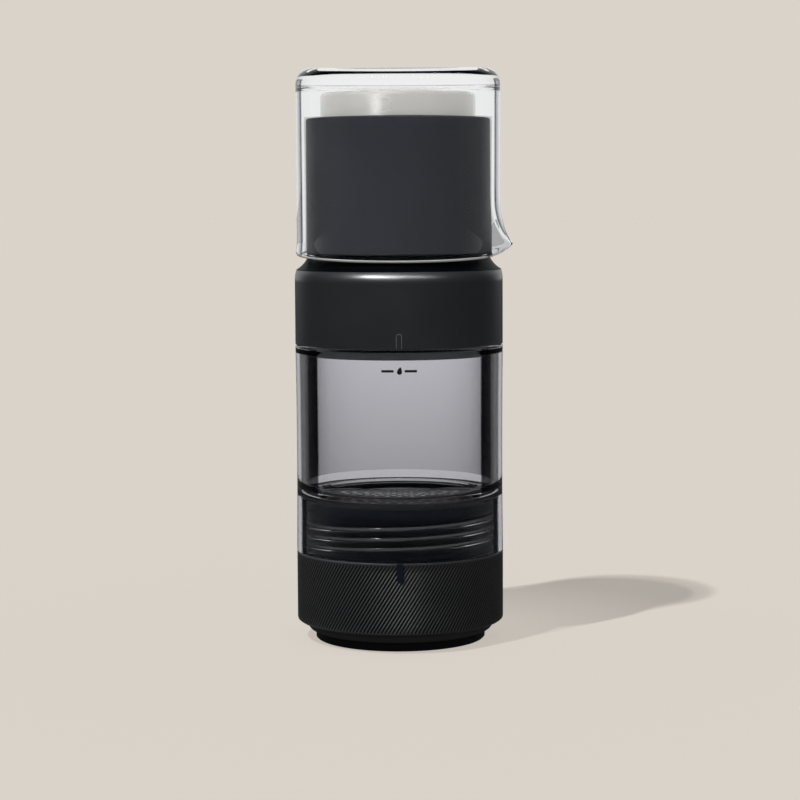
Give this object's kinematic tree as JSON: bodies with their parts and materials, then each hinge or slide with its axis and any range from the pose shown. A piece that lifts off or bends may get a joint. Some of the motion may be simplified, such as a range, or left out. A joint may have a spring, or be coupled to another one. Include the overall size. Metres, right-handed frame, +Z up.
{
  "type": "cold brew coffee maker",
  "caption": "Hand-pumped cold brew coffee maker: a clear water chamber screwed on a knurled coffee chamber, with a pump handle on top and a glass carafe stored upside down over it.",
  "frame": {"origin": "on the body's axis at the flat face it stands on", "axes": "+Z up along the body's axis, -Y towards the front with the alignment ribs, +X the way the carafe's pouring lip points"},
  "size_m": [0.0802, 0.0788, 0.211],
  "materials": {
    "rubber_black": "soft matte",
    "rubber_grey": "soft matte grey",
    "silicone_clear": "milky silicone",
    "plastic_black": "black satin moulding",
    "plastic_charcoal": "charcoal, fine matte",
    "plastic_translucent": "translucent moulding",
    "clear_smoke_plastic": "clear with a smoky tint, glossy",
    "clear_glass": "clear, glossy",
    "steel_mesh": "fine woven mesh",
    "steel_satin": "light satin",
    "steel_screw": "plain",
    "aluminium_rod": "drawn, satin"
  },
  "bodies": {
    "coffee_chamber": {"foot_pad": "rubber_black", "foot_ring": "plastic_charcoal", "filter_support": "plastic_black", "mesh_filter": "steel_mesh", "filter_gasket": "rubber_black", "coffee_chamber": "plastic_black", "grip_ring": "plastic_black"},
    "shower_screen": {"shower_screen": "plastic_black"},
    "chamber_seal": {"chamber_gasket": "rubber_black"},
    "water_chamber": {"water_chamber": "clear_smoke_plastic"},
    "lid_seal": {"lid_gasket": "rubber_grey"},
    "pump_base": {"pump_base": "plastic_black", "check_valve": "silicone_clear", "pump_skirt": "plastic_black", "pump_collar": "plastic_black", "barrel_seal": "rubber_black", "pump_barrel": "plastic_translucent", "barrel_cap": "plastic_black"},
    "pump_handle": {"pump_handle": "plastic_charcoal", "handle_cap": "plastic_black", "rod_screw": "steel_screw", "piston_rod": "aluminium_rod", "piston": "plastic_black", "piston_seal": "silicone_clear"},
    "tamper": {"tamper_cap": "steel_satin", "tamper_base": "plastic_black"},
    "carafe": {"carafe": "clear_glass"}
  },
  "joints": [
    {"name": "screen_lift", "type": "slide", "parent": "coffee_chamber", "child": "shower_screen", "axis": [0, 0, 1], "range_m": [0, 0.03]},
    {"name": "chamber_rise", "type": "slide", "parent": "coffee_chamber", "child": "chamber_seal", "axis": [0, 0, 1], "range_m": [0, 0.009]},
    {"name": "chamber_turn", "type": "hinge", "parent": "chamber_seal", "child": "water_chamber", "pos_m": [0, 0, 0.033], "axis": [0, 0, 1], "range_deg": [0, 450]},
    {"name": "lid_rise", "type": "slide", "parent": "water_chamber", "child": "lid_seal", "axis": [0, 0, 1], "range_m": [0, 0.0072]},
    {"name": "lid_turn", "type": "hinge", "parent": "lid_seal", "child": "pump_base", "pos_m": [0, 0, 0.1085], "axis": [0, 0, 1], "range_deg": [0, 360]},
    {"name": "pump_stroke", "type": "slide", "parent": "pump_base", "child": "pump_handle", "axis": [0, 0, 1], "range_m": [0, 0.04]},
    {"name": "tamper_lift", "type": "slide", "parent": "pump_handle", "child": "tamper", "axis": [0, 0, 1], "range_m": [0, 0.025]},
    {"name": "carafe_lift", "type": "slide", "parent": "tamper", "child": "carafe", "axis": [0, 0, 1], "range_m": [0, 0.07]}
  ],
  "couplings": [
    {"joint": "chamber_rise", "follows": "chamber_turn", "m_per_rad": 0.0011459},
    {"joint": "lid_rise", "follows": "lid_turn", "m_per_rad": 0.0011459}
  ]
}
